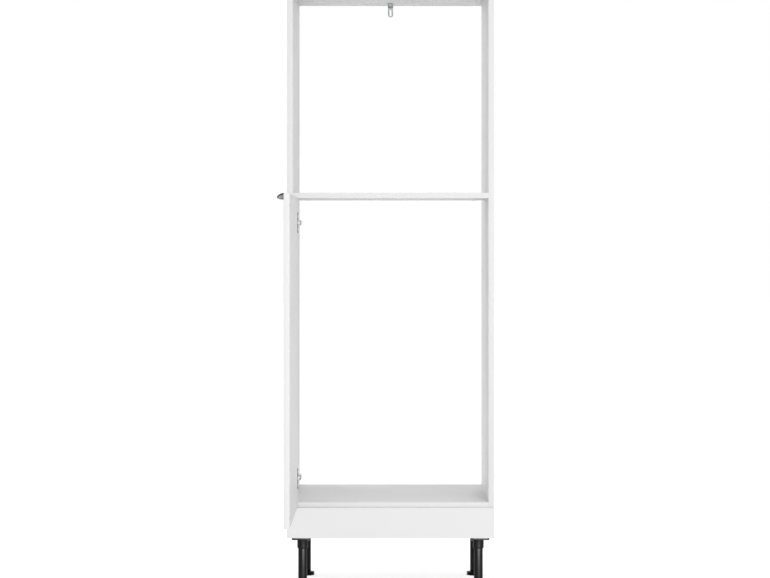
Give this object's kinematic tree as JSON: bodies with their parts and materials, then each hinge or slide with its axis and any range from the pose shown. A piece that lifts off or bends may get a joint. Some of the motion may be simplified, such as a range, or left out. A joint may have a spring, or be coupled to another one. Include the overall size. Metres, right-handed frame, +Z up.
{
  "type": "tall appliance housing",
  "caption": "Tall white kitchen housing with a door-fronted niche for a built-in fridge, an open niche above it, a fixed fascia and adjustable legs.",
  "frame": {"origin": "on the floor, under the middle of the unit's footprint with its door standing open; the front edges of the side panels lie 20.5 mm behind it", "axes": "+Z up, +Y to the rear of the unit, +X to the right as seen from the front"},
  "size_m": [0.6035, 1.161, 1.774],
  "materials": {
    "white_board": "satin white melamine on chipboard",
    "black_plastic": "moulded black plastic, slight sheen",
    "nickel_plate": "nickel-plated pressed steel",
    "zinc_plate": "bright zinc-plated steel",
    "handle_metal": "dark graphite lacquer, satin"
  },
  "bodies": {
    "carcass": {"side_panel_left": "white_board", "side_panel_right": "white_board", "top_panel": "white_board", "middle_shelf": "white_board", "fridge_floor": "white_board", "bottom_panel": "white_board", "front_fascia": "white_board", "fascia_angle_left": "zinc_plate", "fascia_angle_right": "zinc_plate", "connector_top_panel_left_front": "zinc_plate", "connector_top_panel_left_rear": "zinc_plate", "connector_top_panel_right_front": "zinc_plate", "connector_top_panel_right_rear": "zinc_plate", "connector_middle_shelf_left_front": "zinc_plate", "connector_middle_shelf_left_rear": "zinc_plate", "connector_middle_shelf_right_front": "zinc_plate", "connector_middle_shelf_right_rear": "zinc_plate", "connector_fridge_floor_left_front": "zinc_plate", "connector_fridge_floor_left_rear": "zinc_plate", "connector_fridge_floor_right_front": "zinc_plate", "connector_fridge_floor_right_rear": "zinc_plate", "connector_bottom_panel_left_front": "zinc_plate", "connector_bottom_panel_left_rear": "zinc_plate", "connector_bottom_panel_right_front": "zinc_plate", "connector_bottom_panel_right_rear": "zinc_plate", "leg_front_left_socket": "black_plastic", "leg_front_left_tube": "black_plastic", "leg_rear_left_socket": "black_plastic", "leg_rear_left_tube": "black_plastic", "leg_front_right_socket": "black_plastic", "leg_front_right_tube": "black_plastic", "leg_rear_right_socket": "black_plastic", "leg_rear_right_tube": "black_plastic", "wall_bracket": "zinc_plate", "wall_bracket_screw_front": "zinc_plate", "wall_bracket_screw_rear": "zinc_plate", "hinge_upper_arm": "nickel_plate", "hinge_upper_mounting_plate": "nickel_plate", "hinge_lower_arm": "nickel_plate", "hinge_lower_mounting_plate": "nickel_plate"},
    "hinge_outer_links": {"hinge_upper_outer_link": "nickel_plate", "hinge_lower_outer_link": "nickel_plate"},
    "hinge_inner_links": {"hinge_upper_inner_link": "nickel_plate", "hinge_lower_inner_link": "nickel_plate"},
    "door": {"door": "white_board", "door_handle": "handle_metal", "handle_screw_inner": "zinc_plate", "handle_screw_outer": "zinc_plate", "hinge_upper_cup": "nickel_plate", "hinge_lower_cup": "nickel_plate"},
    "leg_front_left_foot": {"leg_front_left_foot": "black_plastic"},
    "leg_rear_left_foot": {"leg_rear_left_foot": "black_plastic"},
    "leg_front_right_foot": {"leg_front_right_foot": "black_plastic"},
    "leg_rear_right_foot": {"leg_rear_right_foot": "black_plastic"}
  },
  "joints": [
    {"name": "outer_link_turn", "type": "hinge", "parent": "carcass", "child": "hinge_outer_links", "pos_m": [-0.269, 0.028, 0.7], "axis": [0, 0, 1], "range_deg": [-45.2, 2.7]},
    {"name": "door_swing", "type": "hinge", "parent": "hinge_outer_links", "child": "door", "pos_m": [-0.2725, 0.0055, 0.7], "axis": [0, 0, 1], "range_deg": [-7.5, 135]},
    {"name": "inner_link_turn", "type": "hinge", "parent": "carcass", "child": "hinge_inner_links", "pos_m": [-0.2641, 0.0355, 0.7], "axis": [0, 0, 1], "range_deg": [-21.6, 1.3]},
    {"name": "leg_front_left_foot_screw", "type": "slide", "parent": "carcass", "child": "leg_front_left_foot", "axis": [0, 0, -1], "range_m": [0, 0.02]},
    {"name": "leg_rear_left_foot_screw", "type": "slide", "parent": "carcass", "child": "leg_rear_left_foot", "axis": [0, 0, -1], "range_m": [0, 0.02]},
    {"name": "leg_front_right_foot_screw", "type": "slide", "parent": "carcass", "child": "leg_front_right_foot", "axis": [0, 0, -1], "range_m": [0, 0.02]},
    {"name": "leg_rear_right_foot_screw", "type": "slide", "parent": "carcass", "child": "leg_rear_right_foot", "axis": [0, 0, -1], "range_m": [0, 0.02]}
  ],
  "couplings": [
    {"joint": "outer_link_turn", "follows": "door_swing", "ratio": -0.33333},
    {"joint": "inner_link_turn", "follows": "door_swing", "ratio": -0.15867}
  ]
}
